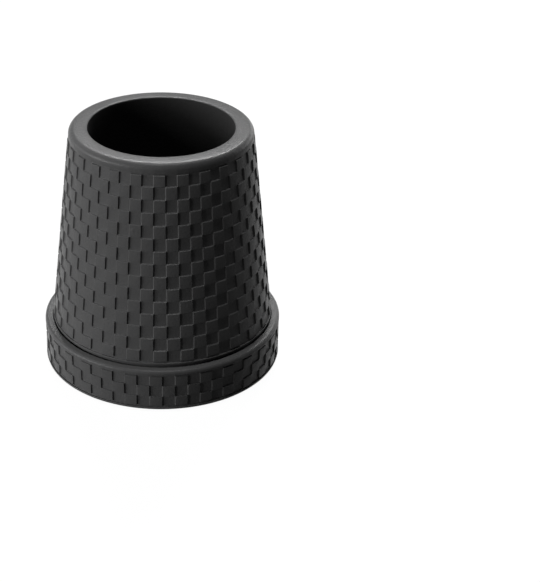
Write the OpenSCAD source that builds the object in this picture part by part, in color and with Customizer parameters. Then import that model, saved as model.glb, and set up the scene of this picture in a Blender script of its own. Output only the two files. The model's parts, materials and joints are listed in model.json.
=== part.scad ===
// Rubber tip for a walking cane, moulded in one piece.
// A tapered wall with a checkered relief stands on a wide collar. The shaft pushes into the
// blind socket from above, and the tip rests on the ringed tread under its foot.
// Millimetres, +Z up the shaft, origin at the middle of the underside.

/* [Shaft socket] */
// Diameter of the shaft socket
socket_d = 19; // [12:0.5:32]
// Depth of the shaft socket
socket_depth = 26; // [14:0.5:28]
// Rounding of the edge at the socket's mouth
mouth_round = 0.2; // [0.1:0.05:0.4]

/* [Wall] */
// Height from the tread to the rim
height = 33.2; // [32:0.2:60]
// Thickness of the wall at the rim
rim_wall = 2.45; // [1.8:0.05:4]
// Lean of the wall from the vertical, in degrees
taper = 6.1; // [3:0.1:10]
// Rounding of the rim's outer edge
rim_round = 0.6; // [0.4:0.1:1.2]
// Height of the smooth band at the rim
rim_band_h = 1.25; // [1.25:0.05:3]
// Height of the smooth band at the wall's foot
foot_band_h = 0.55; // [0.4:0.05:1.5]

/* [Collar] */
// Height of the collar
collar_h = 5.9; // [4:0.1:8]
// How far the collar stands out from the wall's foot
collar_ledge = 1.05; // [1:0.05:3]
// Rounding of the collar's upper edge
collar_round = 0.4; // [0.2:0.05:0.6]
// Height of the smooth lip above the collar's relief
collar_lip_h = 0.65; // [0.6:0.05:1]
// Rounding of the collar's lower edge
sole_round = 0.35; // [0.2:0.05:0.4]
// Height of the smooth lip below the collar's relief
sole_lip_h = 0.45; // [0.4:0.05:1]
// Width of the groove between the wall's foot and the collar
groove_w = 0.35; // [0.2:0.05:0.5]
// Depth of that groove
groove_depth = 0.8; // [0.5:0.1:2]

/* [Relief] */
// How far the pads stand out
relief_h = 0.2; // [0.1:0.05:0.35]
// Rows of pads on the wall
wall_rows = 15; // [6:1:18]
// Pads in each row on the wall
wall_pads = 26; // [14:1:30]
// Rows of pads on the collar
collar_rows = 3; // [1:1:4]
// Pads in each row on the collar
collar_pads = 30; // [16:1:34]
// Turn of the collar's pads against those on the wall, in degrees
collar_turn = -1.6; // [-6:0.1:6]
// Plain strip above and below each field of pads
strip_w = 0.2; // [0.1:0.05:0.4]
// Gap between the corners of pads that meet
corner_gap = 0.06; // [0.04:0.01:0.15]

/* [Tread] */
// Number of ring grooves in the tread
tread_rings = 3; // [1:1:4]
// Width of each ring groove
tread_w = 1.4; // [1:0.1:1.6]
// Depth of the ring grooves
tread_depth = 1; // [0.4:0.1:2]
// Draft of the ring grooves' sides, in degrees
tread_draft = 12; // [0:1:14]

/* [Hidden] */
$fn = 96;

// How far a cutting shape passes the face it cuts, and a pad reaches into the wall
overcut = 1;
pad_root = 0.3;

socket_r = socket_d / 2;
socket_floor = height - socket_depth;

// Radius of the wall over its pads at a height, and the radii of its smooth bands
function wall_r(z) = socket_r + rim_wall + (height - z) * tan(taper);
rim_band_z = height - rim_band_h;
rim_band_r = wall_r(rim_band_z) - relief_h / 2;
foot_band_z = collar_h + foot_band_h;
foot_r = wall_r(foot_band_z);
foot_round = groove_w;

collar_r = wall_r(collar_h) + collar_ledge;
collar_lip_z = collar_h - collar_lip_h;
groove_in_r = foot_r - foot_round;
groove_out_r = groove_in_r + groove_w;
groove_floor = collar_h - groove_depth;

// Points along a rounded corner of the section
function corner(r, z, radius, from, to, steps = 6) =
    [for (i = [0 : steps])
        let (a = from + (to - from) * i / steps)
            [r + radius * cos(a), z + radius * sin(a)]];

// Half section without the socket, the relief and the tread, from the sole up to the rim
section = concat(
    [[0, 0]],
    corner(collar_r - sole_round, sole_round, sole_round, -90, 0),
    [[collar_r, sole_lip_h],
     [collar_r - relief_h, sole_lip_h],
     [collar_r - relief_h, collar_lip_z],
     [collar_r, collar_lip_z]],
    corner(collar_r - collar_round, collar_h - collar_round, collar_round, 0, 90),
    [[groove_out_r, collar_h],
     [groove_out_r, groove_floor],
     [groove_in_r, groove_floor]],
    corner(groove_in_r, collar_h + foot_round, foot_round, -90, 0),
    [[foot_r, foot_band_z],
     [wall_r(foot_band_z) - relief_h, foot_band_z],
     [wall_r(rim_band_z) - relief_h, rim_band_z],
     [rim_band_r, rim_band_z]],
    corner(rim_band_r - rim_round, height - rim_round, rim_round, 0, 90),
    [[0, height]]
);

// A checkered field of pads round the axis between two heights. The pads' outer faces lie on
// a cone through bottom_r at the lower height, and lean inward by the angle as they rise.
module relief(rows, pads, turn, bottom_z, top_z, bottom_r, lean) {
    pitch = (top_z - bottom_z) / rows;
    step = 360 / pads;
    for (row = [0 : rows - 1]) {
        low = bottom_z + row * pitch + (row == 0 ? strip_w : corner_gap / 2);
        high = bottom_z + (row + 1) * pitch - (row == rows - 1 ? strip_w : corner_gap / 2);
        low_r = bottom_r - (low - bottom_z) * tan(lean);
        high_r = bottom_r - (high - bottom_z) * tan(lean);
        pad_angle = step / 2 - corner_gap / low_r * 180 / PI;
        row_turn = turn + (row % 2 == 0 ? -step : step) / 4;
        for (i = [0 : pads - 1])
            rotate(row_turn + i * step - pad_angle / 2)
                rotate_extrude(angle = pad_angle)
                    polygon([
                        [low_r - relief_h - pad_root, low],
                        [low_r, low],
                        [high_r, high],
                        [high_r - relief_h - pad_root, high]]);
    }
}

module wall_relief() {
    relief(wall_rows, wall_pads, 0, foot_band_z, rim_band_z, foot_r, taper);
}

module collar_relief() {
    relief(collar_rows, collar_pads, collar_turn, sole_lip_h, collar_lip_z, collar_r, 0);
}

module socket() {
    translate([0, 0, socket_floor])
        cylinder(r = socket_r, h = socket_depth + overcut);
    rotate_extrude()
        polygon(concat(
            [[0, height - mouth_round]],
            corner(socket_r + mouth_round, height - mouth_round, mouth_round, 180, 90),
            [[socket_r + mouth_round, height + overcut],
             [0, height + overcut]]));
}

module tread() {
    pitch = (collar_r - sole_round) / (tread_rings + 1);
    root_w = tread_w - 2 * tread_depth * tan(tread_draft);
    mouth_w = tread_w + 2 * overcut * tan(tread_draft);
    for (i = [1 : tread_rings])
        rotate_extrude()
            translate([i * pitch, 0])
                polygon([
                    [-mouth_w / 2, -overcut],
                    [mouth_w / 2, -overcut],
                    [root_w / 2, tread_depth],
                    [-root_w / 2, tread_depth]]);
}

module cane_tip() {
    color("#2b2b2d") {
        difference() {
            rotate_extrude()
                polygon(section);
            socket();
            tread();
        }
        wall_relief();
        collar_relief();
    }
}

cane_tip();
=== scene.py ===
"""Rubber cane tip: the moulded skin with its checkered relief, and the studio it stands in."""

import json
import math

import bmesh
import bpy
from bpy.props import FloatProperty, FloatVectorProperty, IntProperty, PointerProperty
from mathutils import Matrix, Vector


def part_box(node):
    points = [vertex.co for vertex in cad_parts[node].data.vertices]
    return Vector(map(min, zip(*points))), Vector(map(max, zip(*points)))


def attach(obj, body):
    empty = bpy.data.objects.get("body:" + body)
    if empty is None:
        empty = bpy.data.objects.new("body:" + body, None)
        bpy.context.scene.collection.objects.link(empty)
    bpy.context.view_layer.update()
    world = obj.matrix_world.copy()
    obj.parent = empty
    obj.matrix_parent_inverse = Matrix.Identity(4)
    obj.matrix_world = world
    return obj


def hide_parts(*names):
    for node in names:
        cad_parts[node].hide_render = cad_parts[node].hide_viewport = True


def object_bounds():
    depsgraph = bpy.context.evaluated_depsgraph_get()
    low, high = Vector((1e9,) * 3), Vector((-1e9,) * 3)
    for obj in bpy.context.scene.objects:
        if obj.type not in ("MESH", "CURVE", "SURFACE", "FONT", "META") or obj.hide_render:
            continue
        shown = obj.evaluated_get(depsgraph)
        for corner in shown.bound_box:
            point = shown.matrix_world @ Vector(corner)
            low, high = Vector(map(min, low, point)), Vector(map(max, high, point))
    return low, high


bl_info = {
    "name": "Rubber Cane Tip",
    "version": (1, 0, 0),
    "blender": (4, 5, 0),
    "location": "3D View > Sidebar > Cane Tip",
    "description": "Moulds a rubber cane tip with a checkered relief, in a plain studio",
    "category": "Object",
}

MM = 0.001
# Points nearer to each other than this are one
TOUCHING = 1e-6

# Mesh lines across a pad's edge, as parts of its width from the middle
EDGE_LINES = (-0.5, -0.3, -0.12, 0.12, 0.3, 0.5)
# Points across the rim's face, as parts of its width from the socket
RIM_LINES = (0.55, 0.45, 0.35, 0.25)
# Rings on the socket's floor, as parts of its radius
FLOOR_RINGS = (0.7, 0.35, 0)
# Mesh lines round the plain parts, for each pad of a row on the wall
PLAIN_LINES = 4
# Longest straight stretch in an arc of the section
LONGEST_CHORD = 0.2 * MM
UNEVENNESS_SEED = 7
# Width of the camera's sensor, in millimetres
SENSOR_WIDTH = 36

# How strongly the grain gathers the bloom, and how far clouds and dust change the roughness
BLOOM_STRENGTH = 1.4
CLOUD_ROUGHNESS = 0.16
DUST_ROUGHNESS = 0.3
# Reach of a speck of dust and of its full middle, as parts of the distance between specks
SPECK_EDGE, SPECK_HEART = 0.05, 0.02

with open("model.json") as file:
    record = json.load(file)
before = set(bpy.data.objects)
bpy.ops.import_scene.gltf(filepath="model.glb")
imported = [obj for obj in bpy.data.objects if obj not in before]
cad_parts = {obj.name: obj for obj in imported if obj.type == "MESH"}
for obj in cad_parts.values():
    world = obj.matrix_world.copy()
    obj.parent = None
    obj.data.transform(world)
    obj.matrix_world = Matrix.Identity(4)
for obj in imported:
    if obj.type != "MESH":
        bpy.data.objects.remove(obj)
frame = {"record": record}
CAD_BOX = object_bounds()
TIP_LOW, TIP_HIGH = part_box("cane_tip")
SOCKET = next(mount for mount in frame["record"]["mounts"] if mount["name"] == "socket")
SOCKET_LENGTH = SOCKET["dims"]["length_mm"] * MM


def length(name, description, millimetres):
    """A length in metres, with its default in millimetres."""
    return FloatProperty(name=name, description=description, default=millimetres * MM,
                         precision=5, subtype="DISTANCE", unit="LENGTH")


def angle(name, description, degrees):
    """An angle in radians, with its default in degrees."""
    return FloatProperty(name=name, description=description, default=math.radians(degrees),
                         subtype="ANGLE", unit="ROTATION")


def share(name, description, value):
    """A plain number from 0 to 1."""
    return FloatProperty(name=name, description=description, default=value,
                         min=0.0, max=1.0, precision=3, subtype="FACTOR")


def number(name, description, value):
    """A whole number of at least one."""
    return IntProperty(name=name, description=description, default=value, min=1)


def colour(name, description, value):
    """A colour, as red, green and blue parts in linear light."""
    return FloatVectorProperty(name=name, description=description, default=value,
                               size=3, min=0.0, max=1.0, subtype="COLOR")


class TipSizes(bpy.types.PropertyGroup):
    """Sizes of the moulded tip, without its pads."""
    height: length("Height", "From the tread to the rim", (TIP_HIGH.z - TIP_LOW.z) / MM)
    collar_radius: length("Collar radius", "Outer radius of the collar",
                          (TIP_HIGH.x - TIP_LOW.x) / 2 / MM)
    socket_radius: length("Socket radius", "Radius of the shaft socket",
                          SOCKET["dims"]["r_mm"])
    socket_floor: length("Socket floor", "Height of the socket's floor above the tread",
                         (SOCKET["pos_m"][2] - SOCKET_LENGTH / 2) / MM)
    floor_round: length("Floor rounding", "Rounding between the socket's wall and floor", 0.4)
    mouth_round: length("Mouth rounding", "Rounding of the edge at the socket's mouth", 0.2)
    rim_wall: length("Rim wall", "Thickness of the wall at the rim", 2.45)
    rim_round: length("Rim rounding", "Rounding of the rim's outer edge", 0.8)
    rim_fall: length("Rim fall", "How far the rim's face curves down to its outer edge", 0.06)
    rim_band: length("Rim band", "Height of the smooth band at the rim", 1.25)
    taper: angle("Taper", "Lean of the wall from the vertical", 6.1)
    foot_band: length("Foot band", "Height of the smooth band at the wall's foot", 0.55)
    foot_round: length("Foot rounding", "Rounding of the wall's foot", 0.35)
    collar_height: length("Collar height", "From the tread to the collar's upper face", 5.9)
    collar_round: length("Collar rounding", "Rounding of the collar's upper edge", 0.4)
    collar_lip: length("Collar lip", "Height of the smooth lip above the collar's pads", 0.65)
    sole_lip: length("Sole lip", "Height of the smooth lip below the collar's pads", 0.45)
    sole_round: length("Sole rounding", "Rounding of the collar's lower edge", 0.35)
    groove_width: length("Groove width", "Gap between the wall's foot and the collar", 0.35)
    groove_depth: length("Groove depth", "Depth of that gap", 0.8)
    groove_round: length("Groove rounding", "Rounding of the collar's edge at that gap", 0.12)
    tread_rings: number("Tread rings", "Ring grooves in the tread", 3)
    tread_width: length("Tread groove width", "Width of each ring groove", 1.4)
    tread_depth: length("Tread groove depth", "Depth of each ring groove", 1.0)
    tread_draft: angle("Tread draft", "Draft of the ring grooves' sides", 12)
    tread_round: length("Tread rounding", "Rounding of the ring grooves' edges", 0.12)

    def wall_radius(self, z):
        """Radius of the wall over its pads at a height."""
        return self.socket_radius + self.rim_wall + (self.height - z) * math.tan(self.taper)


class PadSizes(bpy.types.PropertyGroup):
    """Sizes of the checkered relief."""
    relief: length("Relief", "How far the pads stand out", 0.23)
    edge: length("Edge", "Width of a pad's sloping, rounded edge", 0.13)
    lean: length("Lean", "How much less a pad stands out at its bottom than at its top", 0.02)
    strip: length("Plain strip", "Plain strip above and below each field of pads", 0.2)
    small_round: length("Small rounding", "Rounding of the steps beside the pads", 0.06)
    unevenness: length("Unevenness", "How far one side of a pad may stand over the other", 0.03)
    wall_rows: number("Wall rows", "Rows of pads on the wall", 15)
    wall_pads: number("Wall pads", "Pads in each row on the wall", 26)
    collar_rows: number("Collar rows", "Rows of pads on the collar", 3)
    collar_pads: number("Collar pads", "Pads in each row on the collar", 30)
    collar_turn: angle("Collar turn", "Turn of the collar's pads against the wall's", -1.6)


class RubberFinish(bpy.types.PropertyGroup):
    """Colour and surface of the rubber."""
    skin: colour("Rubber colour", "Colour of the moulded skin", (0.036, 0.036, 0.0365))
    bloom: colour("Bloom colour", "Colour of the faint grey film on the skin",
                  (0.048, 0.048, 0.048))
    roughness: share("Roughness", "Roughness of the moulded skin", 0.3)
    gloss: share("Gloss", "Strength of the skin's reflections, where 0.5 is plain plastic", 0.048)
    grain: length("Grain", "Size of the fine grain", 0.3)
    grain_depth: length("Grain depth", "Depth of the fine grain", 0.04)
    cloud: length("Cloud", "Size of the cloudy patches in the bloom", 9)
    socket_grain: length("Socket grain", "Size of the coarser grain inside the socket", 0.3)
    # The socket's darker colour is painted shade of its deep hollow; its roughness and coarser
    # grain are the rubber's own
    socket_painted_shade: colour("Socket colour", "Painted shade: darker colour inside the socket",
                        (0.015, 0.015, 0.015))
    socket_depth: length("Socket grain depth", "Depth of the grain inside the socket", 0.06)
    socket_roughness: share("Socket roughness", "Roughness of the rubber inside the socket", 1.0)


class StudioLook(bpy.types.PropertyGroup):
    """Camera, floor and light of the studio."""
    eye: FloatVectorProperty(name="Camera place", description="Where the camera stands",
                             default=(0.01622, -0.18923, 0.11556), size=3, precision=5,
                             subtype="TRANSLATION", unit="LENGTH")
    turn: angle("Camera turn", "Turn of the view to the left of the Y axis", 0.5)
    dip: angle("Camera dip", "How far the camera looks down", 29.287)
    roll: angle("Camera roll", "Turn of the camera about its view", 1.738)
    lens: FloatProperty(name="Lens", description="Focal length", default=98.94,
                        subtype="DISTANCE_CAMERA")
    floor_colour: colour("Floor colour", "Colour of the floor", (0.03, 0.03, 0.03))
    floor_size: length("Floor size", "Side of the square floor", 3000)
    backdrop_height: length("Backdrop height", "Height of the backdrop round the floor", 300)
    floor_lift: FloatProperty(name="Floor lift", default=0.96,
                              description="Light added to the floor where the camera or a "
                                          "reflection shows it")
    fill: FloatProperty(name="Fill light", default=0.005,
                        description="Strength of the even light from all round")


# The tip's section


def rounded(corners):
    """Points of a section, given (radius, height, rounding) corners: each rounding is an arc."""
    points = []
    for i, (r, z, rounding) in enumerate(corners):
        corner = Vector((r, z))
        arc = [corner]
        if rounding:
            back = Vector(corners[i - 1][:2]) - corner
            ahead = Vector(corners[i + 1][:2]) - corner
            half = back.angle(ahead) / 2
            reach = min(rounding / math.tan(half), back.length, ahead.length)
            back.normalize()
            ahead.normalize()
            centre = corner + (back + ahead).normalized() * reach / math.cos(half)
            start = corner + back * reach - centre
            end = corner + ahead * reach - centre
            sweep = start.angle_signed(end)
            steps = max(3, math.ceil(abs(sweep) * start.length / LONGEST_CHORD))
            arc = [centre + Matrix.Rotation(-sweep * k / steps, 2) @ start
                   for k in range(steps + 1)]
        points += [p for p in arc if not points or (p - points[-1]).length > TOUCHING]
    return points


def edge_lines(edge):
    """Places of the mesh lines across a pad's edge, from its middle."""
    return [edge * at for at in EDGE_LINES]


def field_heights(bottom, top, rows, pads):
    """Heights of the mesh lines in a field of pads, in rising order."""
    pitch = (top - bottom) / rows
    borders = [bottom + pads.strip]
    borders += [bottom + row * pitch for row in range(1, rows)]
    borders.append(top - pads.strip)
    lines = [border + offset for border in borders for offset in edge_lines(pads.edge)]
    lines += [(low + high) / 2 for low, high in zip(borders, borders[1:])]
    return sorted(lines)


def pad_lines(count, turn, edge):
    """Angles of the mesh lines round a ring of pads, as a function of the ring's radius."""
    step = math.pi / count

    def at_radius(radius):
        angles = []
        for border in range(2 * count):
            start = turn + border * step
            angles += [start + offset / radius for offset in edge_lines(edge)]
            angles.append(start + step / 2)
        return angles

    return at_radius


def even_lines(count):
    """Evenly spaced angles round a ring, whatever its radius."""
    return lambda radius: [2 * math.pi * i / count for i in range(count)]


def tread_section(tip):
    """From the axis out to the sole's rounded edge, over the ring grooves."""
    pitch = (tip.collar_radius - tip.sole_round) / (tip.tread_rings + 1)
    mouth = tip.tread_width / 2
    root = mouth - tip.tread_depth * math.tan(tip.tread_draft)
    corners = [(0, 0, 0)]
    for ring in range(1, tip.tread_rings + 1):
        middle = ring * pitch
        corners += [(middle - mouth, 0, tip.tread_round),
                    (middle - root, tip.tread_depth, tip.tread_round),
                    (middle + root, tip.tread_depth, tip.tread_round),
                    (middle + mouth, 0, tip.tread_round)]
    corners.append((tip.collar_radius - tip.sole_round - tip.tread_round, 0, 0))
    return rounded(corners)


def collar_section(tip, pads):
    """From the sole's edge up over the collar's pads and ledge to the bottom of the groove."""
    ground = tip.collar_radius - pads.relief
    lip = tip.collar_height - tip.collar_lip
    small = pads.small_round
    foot = tip.wall_radius(tip.collar_height + tip.foot_band)
    return rounded([
        (tip.collar_radius - tip.sole_round - TOUCHING, 0, 0),
        (tip.collar_radius, 0, tip.sole_round),
        (tip.collar_radius, tip.sole_lip, small),
        (ground, tip.sole_lip, small),
        *((ground, z, 0) for z in field_heights(tip.sole_lip, lip, pads.collar_rows, pads)),
        (ground, lip, small),
        (tip.collar_radius, lip, small),
        (tip.collar_radius, tip.collar_height, tip.collar_round),
        (foot - tip.foot_round + tip.groove_width, tip.collar_height, tip.groove_round),
        (foot - tip.foot_round + tip.groove_width, tip.collar_height - tip.groove_depth, 0),
    ])


def wall_section(tip, pads):
    """From the bottom of the groove up the padded wall, over the rim and down the socket."""
    foot_z = tip.collar_height + tip.foot_band
    rim_z = tip.height - tip.rim_band
    foot = tip.wall_radius(foot_z)
    rim = tip.wall_radius(rim_z) - pads.relief / 2
    small = pads.small_round
    heights = field_heights(foot_z, rim_z, pads.wall_rows, pads)
    return rounded([
        (foot - tip.foot_round, tip.collar_height - tip.groove_depth, 0),
        (foot - tip.foot_round, tip.collar_height, 0),
        (foot, tip.collar_height, tip.foot_round),
        (foot, foot_z, small),
        (foot - pads.relief, foot_z, small),
        *((tip.wall_radius(z) - pads.relief, z, 0) for z in heights),
        (tip.wall_radius(rim_z) - pads.relief, rim_z, small / 2),
        (rim, rim_z, small / 2),
        (rim, tip.height - tip.rim_fall, tip.rim_round),
        *((tip.socket_radius + across * (rim - tip.socket_radius),
           tip.height - tip.rim_fall * across ** 2, 0) for across in RIM_LINES),
        (tip.socket_radius, tip.height, tip.mouth_round),
        (tip.socket_radius, tip.height - 4 * tip.mouth_round, 0),
        (tip.socket_radius, (tip.height + tip.socket_floor) / 2, 0),
        (tip.socket_radius, tip.socket_floor, tip.floor_round),
        (tip.socket_radius - 2 * tip.floor_round, tip.socket_floor, 0),
    ])


def floor_section(tip):
    """From the edge of the socket's floor to the axis."""
    return rounded([(tip.socket_radius * part, tip.socket_floor, 0) for part in FLOOR_RINGS])


# The turned skin


def sew(mesh, lower, upper):
    """Joins two rings of (angle, vertex) with faces that point outwards."""
    if len(lower) == len(upper):
        for i in range(len(lower)):
            mesh.faces.new((lower[i - 1][1], lower[i][1], upper[i][1], upper[i - 1][1]))
        return
    if len(lower) == 1 or len(upper) == 1:
        ring = lower if len(upper) == 1 else upper
        pole = upper[0][1] if len(upper) == 1 else lower[0][1]
        for i in range(len(ring)):
            pair = (ring[i - 1][1], ring[i][1]) if ring is lower else (ring[i][1], ring[i - 1][1])
            mesh.faces.new((*pair, pole))
        return
    low, high = 0, 0
    while low < len(lower) or high < len(upper):
        next_low = lower[(low + 1) % len(lower)][0] + 2 * math.pi * ((low + 1) // len(lower))
        next_high = upper[(high + 1) % len(upper)][0] + 2 * math.pi * ((high + 1) // len(upper))
        here = lower[low % len(lower)][1], upper[high % len(upper)][1]
        if high == len(upper) or (low < len(lower) and next_low <= next_high):
            low += 1
            mesh.faces.new((here[0], lower[low % len(lower)][1], here[1]))
        else:
            high += 1
            mesh.faces.new((here[0], upper[high % len(upper)][1], here[1]))


def turned_skin(name, runs):
    """A closed skin round the Z axis. Each run is a section and the angles of its mesh lines."""
    mesh = bmesh.new()
    last = None
    for section, lines in runs:
        for r, z in section:
            if r < TOUCHING:
                ring = [(0, mesh.verts.new((0, 0, z)))]
            else:
                ring = [(a, mesh.verts.new((r * math.cos(a), r * math.sin(a), z)))
                        for a in lines(r)]
            if last:
                sew(mesh, last, ring)
            last = ring
    for face in mesh.faces:
        face.smooth = True
    data = bpy.data.meshes.new(name)
    mesh.to_mesh(data)
    mesh.free()
    skin = bpy.data.objects.new(name, data)
    bpy.context.scene.collection.objects.link(skin)
    return skin


def level_normals(data):
    """Turns each vertex normal towards the largest faces round it, so that the pads look flat."""
    sums = [Vector() for _ in data.vertices]
    for face in data.polygons:
        for corner in face.vertices:
            sums[corner] += face.normal * face.area / MM ** 2
    data.normals_split_custom_set_from_vertices([total.normalized() for total in sums])


# Node trees


def put(tree, kind, inputs=(), **settings):
    """Adds a node with its settings, and links or sets the named or numbered inputs."""
    node = tree.nodes.new(kind)
    for name, value in settings.items():
        setattr(node, name, value)
    for name, value in dict(inputs).items():
        if isinstance(value, bpy.types.NodeSocket):
            tree.links.new(value, node.inputs[name])
        else:
            node.inputs[name].default_value = value
    return node


def calc(tree, operation, *values):
    """Output of a Math node on sockets and numbers."""
    return put(tree, "ShaderNodeMath", enumerate(values), operation=operation).outputs[0]


def sockets(tree, in_out, **kinds):
    """Adds named sockets to a tree's interface; underscores stand for spaces."""
    for name, kind in kinds.items():
        tree.interface.new_socket(name.replace("_", " "), in_out=in_out,
                                  socket_type="NodeSocket" + kind)


def relief_tree():
    """Geometry nodes that raise one field of pads on a skin turned round the Z axis."""
    tree = bpy.data.node_groups.new("checkered relief", "GeometryNodeTree")
    sockets(tree, "INPUT", Geometry="Geometry", Rows="Int", Pads="Int", Turn="Float",
            Bottom="Float", Top="Float", Inner_limit="Float", Relief="Float", Strip="Float",
            Edge="Float", Lean="Float", Unevenness="Float", Seed="Int", Rubber="Material",
            Socket_rubber="Material", Socket_radius="Float", Socket_base="Float")
    sockets(tree, "OUTPUT", Geometry="Geometry")
    given = put(tree, "NodeGroupInput").outputs

    place = put(tree, "ShaderNodeSeparateXYZ",
                {0: put(tree, "GeometryNodeInputPosition").outputs[0]}).outputs
    across = put(tree, "ShaderNodeCombineXYZ", {"X": place["X"], "Y": place["Y"]}).outputs[0]
    radius = put(tree, "ShaderNodeVectorMath", {0: across}, operation="LENGTH").outputs["Value"]
    outward = put(tree, "ShaderNodeVectorMath", {0: across}, operation="NORMALIZE").outputs[0]

    # Distance from the nearest upright border, above zero in the first half of each pad's share
    turned = calc(tree, "SUBTRACT", calc(tree, "ARCTAN2", place["Y"], place["X"]), given["Turn"])
    share_angle = calc(tree, "DIVIDE", 2 * math.pi, given["Pads"])
    round_count = calc(tree, "DIVIDE", turned, share_angle)
    wave = calc(tree, "PINGPONG", calc(tree, "ADD", round_count, 0.25), 0.5)
    side = calc(tree, "MULTIPLY", calc(tree, "SUBTRACT", wave, 0.25),
                calc(tree, "MULTIPLY", share_angle, radius))

    # Distance from the nearest level border, above zero in every second row
    climb = calc(tree, "SUBTRACT", place["Z"], given["Bottom"])
    two_rows = calc(tree, "DIVIDE", calc(tree, "SUBTRACT", given["Top"], given["Bottom"]),
                    calc(tree, "DIVIDE", given["Rows"], 2))
    row_count = calc(tree, "DIVIDE", climb, two_rows)
    wave = calc(tree, "PINGPONG", calc(tree, "ADD", row_count, 0.25), 0.5)
    level = calc(tree, "MULTIPLY", calc(tree, "SUBTRACT", 0.25, wave), two_rows)

    # The product is above zero on the pads; over the diagonal it is a distance with round corners
    diagonal = calc(tree, "SQRT", calc(tree, "ADD", calc(tree, "MULTIPLY", side, side),
                                       calc(tree, "MULTIPLY", level, level)))
    inside = calc(tree, "DIVIDE", calc(tree, "MULTIPLY", side, level),
                  calc(tree, "MAXIMUM", diagonal, TOUCHING))
    from_strips = calc(tree, "SUBTRACT",
                       calc(tree, "MINIMUM", climb,
                            calc(tree, "SUBTRACT", given["Top"], place["Z"])), given["Strip"])
    half_edge = calc(tree, "MULTIPLY", given["Edge"], 0.5)
    inside = calc(tree, "SMOOTH_MIN", inside, from_strips, half_edge)
    raised = put(tree, "ShaderNodeMapRange", {
        "Value": inside, "From Min": calc(tree, "MULTIPLY", half_edge, -1),
        "From Max": half_edge}, interpolation_type="SMOOTHSTEP").outputs["Result"]

    # Each pad tilts a little, by a random amount of its own
    column, row = calc(tree, "MULTIPLY", round_count, 2), calc(tree, "MULTIPLY", row_count, 2)
    cell = put(tree, "ShaderNodeCombineXYZ", {
        "X": calc(tree, "FLOOR", column), "Y": calc(tree, "FLOOR", row),
        "Z": given["Seed"]}).outputs[0]
    chance = put(tree, "ShaderNodeSeparateXYZ", {0: put(
        tree, "ShaderNodeTexWhiteNoise", {"Vector": cell}).outputs["Color"]}).outputs
    tilt = calc(tree, "ADD", *(
        calc(tree, "MULTIPLY", calc(tree, "SUBTRACT", calc(tree, "FRACT", count), 0.5),
             calc(tree, "SUBTRACT", chance[axis], 0.5))
        for count, axis in ((column, "X"), (row, "Y"))))
    stand_out = calc(tree, "ADD", given["Relief"], calc(
        tree, "MULTIPLY", given["Unevenness"], calc(tree, "SUBTRACT", tilt, 0.5)))
    sunk = calc(tree, "MULTIPLY", given["Lean"], calc(
        tree, "SUBTRACT", 1.0, calc(tree, "FRACT", row)))
    height = calc(tree, "MULTIPLY", raised, calc(tree, "SUBTRACT", stand_out, sunk))

    here = calc(tree, "MULTIPLY",
                calc(tree, "GREATER_THAN", radius, given["Inner limit"]),
                calc(tree, "MULTIPLY", calc(tree, "GREATER_THAN", place["Z"], given["Bottom"]),
                     calc(tree, "LESS_THAN", place["Z"], given["Top"])))
    move = put(tree, "ShaderNodeVectorMath", {0: outward, "Scale": height}, operation="SCALE")
    moulded = put(tree, "GeometryNodeSetPosition", {
        "Geometry": given["Geometry"], "Selection": here, "Offset": move.outputs[0]})
    plain = put(tree, "GeometryNodeRealizeInstances", {0: moulded.outputs[0]})
    skinned = put(tree, "GeometryNodeSetMaterial", {
        "Geometry": plain.outputs[0], "Material": given["Rubber"]})
    # Faces inside the socket take the darker rubber, whose colour is painted shade of the hollow
    in_socket = calc(tree, "MULTIPLY", calc(tree, "LESS_THAN", radius, given["Socket radius"]),
                     calc(tree, "GREATER_THAN", place["Z"], given["Socket base"]))
    lined = put(tree, "GeometryNodeSetMaterial", {
        "Geometry": skinned.outputs[0], "Material": given["Socket rubber"],
        "Selection": in_socket})
    put(tree, "NodeGroupOutput", {0: lined.outputs[0]})
    return tree


def set_inputs(modifier, **values):
    """Sets a modifier's inputs by their sockets' identifiers; underscores stand for spaces."""
    names = {item.name: item.identifier for item in modifier.node_group.interface.items_tree
             if item.item_type == "SOCKET" and item.in_out == "INPUT"}
    for name, value in values.items():
        modifier[names[name.replace("_", " ")]] = value


def colour_socket(sides, name):
    """The colour socket of this name, among inputs or outputs that share it."""
    return next(side for side in sides if side.name == name and side.type == "RGBA")


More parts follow.
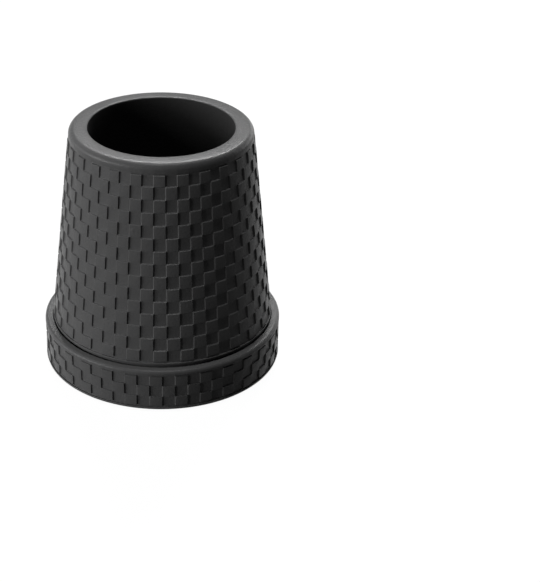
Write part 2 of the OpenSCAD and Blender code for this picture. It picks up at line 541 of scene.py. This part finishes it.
def grain_group():
    """Shader group for moulded rubber: fine grain, cloudy bloom and specks of dust."""
    tree = bpy.data.node_groups.new("rubber grain", "ShaderNodeTree")
    sockets(tree, "INPUT", Place="Vector", Grain_size="Float", Cloud_size="Float",
            Rubber="Color", Bloom="Color", Roughness="Float", Dust="Float")
    sockets(tree, "OUTPUT", Colour="Color", Roughness="Float", Height="Float")
    given = put(tree, "NodeGroupInput").outputs
    grain = put(tree, "ShaderNodeTexNoise", {
        "Vector": given["Place"], "Scale": calc(tree, "DIVIDE", 1.0, given["Grain size"]),
        "Detail": 2.0, "Roughness": 0.6}).outputs["Fac"]
    cloud = put(tree, "ShaderNodeTexNoise", {
        "Vector": given["Place"], "Scale": calc(tree, "DIVIDE", 1.0, given["Cloud size"]),
        "Detail": 3.0}).outputs["Fac"]
    specks = put(tree, "ShaderNodeTexVoronoi", {
        "Vector": given["Place"], "Scale": calc(tree, "DIVIDE", 1.0, given["Cloud size"]),
        "Randomness": 1.0}).outputs["Distance"]
    dusty = put(tree, "ShaderNodeMapRange", {
        "Value": specks, "From Min": SPECK_EDGE, "From Max": SPECK_HEART, "To Min": 0.0,
        "To Max": given["Dust"]}).outputs["Result"]
    film = calc(tree, "MULTIPLY", calc(tree, "MULTIPLY", cloud, grain), BLOOM_STRENGTH)
    filmed = put(tree, "ShaderNodeMix", {"Factor": film}, data_type="RGBA")
    # A mix node holds one set of sockets for each data type, so the colour ones are picked out
    for name, value in (("A", given["Rubber"]), ("B", given["Bloom"])):
        tree.links.new(value, colour_socket(filmed.inputs, name))
    uneven = calc(tree, "ADD", given["Roughness"], calc(
        tree, "MULTIPLY", calc(tree, "SUBTRACT", cloud, 0.5), CLOUD_ROUGHNESS))
    put(tree, "NodeGroupOutput", {
        "Colour": colour_socket(filmed.outputs, "Result"),
        "Roughness": calc(tree, "ADD", uneven, calc(tree, "MULTIPLY", dusty, DUST_ROUGHNESS)),
        "Height": calc(tree, "ADD", grain, dusty)})
    return tree


def rubber(name, group, finish, skin, bloom, roughness, grain, depth):
    """A black rubber with its own colours, roughness and size and depth of grain."""
    material = bpy.data.materials.new(name)
    material.use_nodes = True
    tree = material.node_tree
    shader = tree.nodes["Principled BSDF"]
    surface = put(tree, "ShaderNodeGroup", {
        "Place": put(tree, "ShaderNodeTexCoord").outputs["Object"], "Grain size": grain,
        "Cloud size": finish.cloud, "Rubber": (*skin, 1), "Bloom": (*bloom, 1),
        "Roughness": roughness, "Dust": 1.0}, node_tree=group)
    bump = put(tree, "ShaderNodeBump", {
        "Height": surface.outputs["Height"], "Distance": depth, "Strength": 1.0})
    tree.links.new(surface.outputs["Colour"], shader.inputs["Base Color"])
    tree.links.new(surface.outputs["Roughness"], shader.inputs["Roughness"])
    tree.links.new(bump.outputs["Normal"], shader.inputs["Normal"])
    shader.inputs["Specular IOR Level"].default_value = finish.gloss
    return material


class CANETIP_OT_mould_tip(bpy.types.Operator):
    """Mould the rubber tip with its checkered wall and collar"""
    bl_idname = "cane_tip.mould_tip"
    bl_label = "Mould Tip"
    bl_options = {"REGISTER", "UNDO"}

    def execute(self, context):
        tip, pads, finish = (context.scene.tip_sizes, context.scene.pad_sizes,
                             context.scene.rubber_finish)
        group = grain_group()
        skin_rubber = rubber("moulded rubber", group, finish, finish.skin, finish.bloom,
                             finish.roughness, finish.grain, finish.grain_depth)
        # Inside the socket the rubber is darker: painted shade of the hollow, with the real
        # roughness and coarser grain of the socket
        socket_shade_rubber = rubber("socket rubber with painted shade", group, finish, finish.socket_painted_shade,
                               finish.socket_painted_shade, finish.socket_roughness,
                               finish.socket_grain, finish.socket_depth)
        plain = even_lines(PLAIN_LINES * pads.wall_pads)
        wall_lines = pad_lines(pads.wall_pads, 0, pads.edge)
        collar_lines = pad_lines(pads.collar_pads, pads.collar_turn, pads.edge)
        skin = turned_skin("rubber_tip", [
            (tread_section(tip), plain),
            (collar_section(tip, pads), collar_lines),
            (wall_section(tip, pads), wall_lines),
            (floor_section(tip), plain)])

        foot_z = tip.collar_height + tip.foot_band
        tree = relief_tree()
        for name, field in {
            "wall relief": {
                "Rows": pads.wall_rows, "Pads": pads.wall_pads, "Turn": 0.0, "Bottom": foot_z,
                "Top": tip.height - tip.rim_band,
                "Inner_limit": tip.socket_radius + tip.rim_wall / 2},
            "collar relief": {
                "Rows": pads.collar_rows, "Pads": pads.collar_pads, "Turn": pads.collar_turn,
                "Bottom": tip.sole_lip, "Top": tip.collar_height - tip.collar_lip,
                "Inner_limit": tip.wall_radius(foot_z) + tip.groove_width},
        }.items():
            modifier = skin.modifiers.new(name, "NODES")
            modifier.node_group = tree
            set_inputs(modifier, Relief=pads.relief, Strip=pads.strip, Edge=pads.edge,
                       Lean=pads.lean, Unevenness=pads.unevenness, Seed=UNEVENNESS_SEED,
                       Rubber=skin_rubber, Socket_rubber=socket_shade_rubber,
                       Socket_radius=tip.socket_radius + tip.mouth_round / 4,
                       Socket_base=tip.socket_floor / 2, **field)
        evaluated = skin.evaluated_get(context.evaluated_depsgraph_get())
        moulded = bpy.data.meshes.new_from_object(evaluated)
        skin.modifiers.clear()
        level_normals(moulded)
        skin.data = moulded
        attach(skin, "root")
        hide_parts("cane_tip")
        return {"FINISHED"}


# The studio


def lit_surface(name, tone, lift):
    """A pale matt surface, with some light added where the camera or a reflection shows it."""
    material = bpy.data.materials.new(name)
    material.use_nodes = True
    tree = material.node_tree
    tree.nodes.clear()
    path = put(tree, "ShaderNodeLightPath").outputs
    shown = calc(tree, "MAXIMUM", path["Is Camera Ray"],
                 calc(tree, "MAXIMUM", path["Is Glossy Ray"], path["Is Transmission Ray"]))
    matt = put(tree, "ShaderNodeBsdfDiffuse", {"Color": (*tone, 1)})
    glow = put(tree, "ShaderNodeEmission", {"Strength": calc(tree, "MULTIPLY", shown, lift)})
    both = put(tree, "ShaderNodeAddShader", {0: matt.outputs[0], 1: glow.outputs[0]})
    put(tree, "ShaderNodeOutputMaterial", {"Surface": both.outputs[0]})
    return material


def tray(name, half, rise, material):
    """A square floor with a low backdrop round its edge."""
    corners = [(-half, -half), (half, -half), (half, half), (-half, half)]
    data = bpy.data.meshes.new(name)
    data.from_pydata([(x, y, z) for z in (0, rise) for x, y in corners], [],
                     [(0, 1, 2, 3)]
                     + [(i, i + 4, (i + 1) % 4 + 4, (i + 1) % 4) for i in range(4)])
    data.materials.append(material)
    piece = bpy.data.objects.new(name, data)
    bpy.context.scene.collection.objects.link(piece)
    return piece


def softbox(name, turn, rise, distance, width, height, power, aim):
    """A rectangular lamp that faces the tip, turned to the right from the camera's side."""
    data = bpy.data.lights.new(name, "AREA")
    data.shape = "RECTANGLE"
    data.size, data.size_y = width, height
    data.energy = power
    lamp = bpy.data.objects.new(name, data)
    level = math.radians(turn - 90)
    up = math.radians(rise)
    spoke = Vector((math.cos(level) * math.cos(up), math.sin(level) * math.cos(up), math.sin(up)))
    lamp.location = aim + spoke * distance
    lamp.rotation_euler = (-spoke).to_track_quat("-Z", "Y").to_euler()
    bpy.context.scene.collection.objects.link(lamp)


# Name, turn, rise, distance, width and height in metres, power in watts
LAMPS = (
    ("left softbox", -74, 9, 0.5, 0.25, 0.16, 2.8),
    ("left strip", -48, 14, 0.5, 0.08, 0.2, 1.4),
    ("left panel", -90, 9, 0.5, 0.6, 0.16, 1.0),
    ("overhead softbox", 0, 89.5, 0.6, 0.12, 0.12, 3.0),
    ("back softbox", 180, 44, 0.6, 0.3, 0.1, 7.0),
    ("right panel", 140, 10, 0.5, 0.5, 0.25, 1.2),
)


class CANETIP_OT_set_stage(bpy.types.Operator):
    """Set up the floor, lamps and camera round the tip"""
    bl_idname = "cane_tip.set_stage"
    bl_label = "Set Stage"
    bl_options = {"REGISTER", "UNDO"}

    def execute(self, context):
        scene, look = context.scene, context.scene.studio_look
        pale = lit_surface("pale floor", look.floor_colour, look.floor_lift)
        tray("floor", look.floor_size / 2, look.backdrop_height, pale)

        middle = (CAD_BOX[0] + CAD_BOX[1]) / 2
        for lamp in LAMPS:
            softbox(*lamp, middle)

        camera = bpy.data.objects.new("camera", bpy.data.cameras.new("camera"))
        camera.data.lens = look.lens
        camera.data.sensor_width = SENSOR_WIDTH
        camera.location = look.eye
        camera.rotation_euler = (
            Matrix.Rotation(look.turn, 3, "Z") @ Matrix.Rotation(math.pi / 2 - look.dip, 3, "X")
            @ Matrix.Rotation(look.roll, 3, "Z")).to_euler()
        scene.collection.objects.link(camera)
        scene.camera = camera

        scene.world = bpy.data.worlds.new("studio")
        scene.world.use_nodes = True
        background = scene.world.node_tree.nodes["Background"]
        background.inputs["Color"].default_value = (1, 1, 1, 1)
        background.inputs["Strength"].default_value = look.fill
        scene.view_settings.view_transform = "Standard"
        return {"FINISHED"}


class VIEW3D_PT_cane_tip(bpy.types.Panel):
    """Sizes, finish and studio of the cane tip"""
    bl_label = "Rubber Cane Tip"
    bl_space_type = "VIEW_3D"
    bl_region_type = "UI"
    bl_category = "Cane Tip"

    def draw(self, context):
        layout = self.layout
        scene = context.scene
        for label, group in (("Tip", scene.tip_sizes), ("Pads", scene.pad_sizes),
                             ("Rubber", scene.rubber_finish), ("Studio", scene.studio_look)):
            box = layout.box()
            box.label(text=label)
            for name in group.bl_rna.properties.keys():
                if name not in {"rna_type", "name"}:
                    box.prop(group, name)
        layout.operator(CANETIP_OT_mould_tip.bl_idname)
        layout.operator(CANETIP_OT_set_stage.bl_idname)


CLASSES = (TipSizes, PadSizes, RubberFinish, StudioLook, CANETIP_OT_mould_tip,
           CANETIP_OT_set_stage, VIEW3D_PT_cane_tip)
SETTINGS = {"tip_sizes": TipSizes, "pad_sizes": PadSizes, "rubber_finish": RubberFinish,
            "studio_look": StudioLook}


def register():
    for cls in CLASSES:
        bpy.utils.register_class(cls)
    for name, group in SETTINGS.items():
        setattr(bpy.types.Scene, name, PointerProperty(type=group))


def unregister():
    for name in SETTINGS:
        delattr(bpy.types.Scene, name)
    for cls in reversed(CLASSES):
        bpy.utils.unregister_class(cls)


def main():
    register()
    bpy.ops.cane_tip.mould_tip()
    bpy.ops.cane_tip.set_stage()


if __name__ == "__main__":
    main()
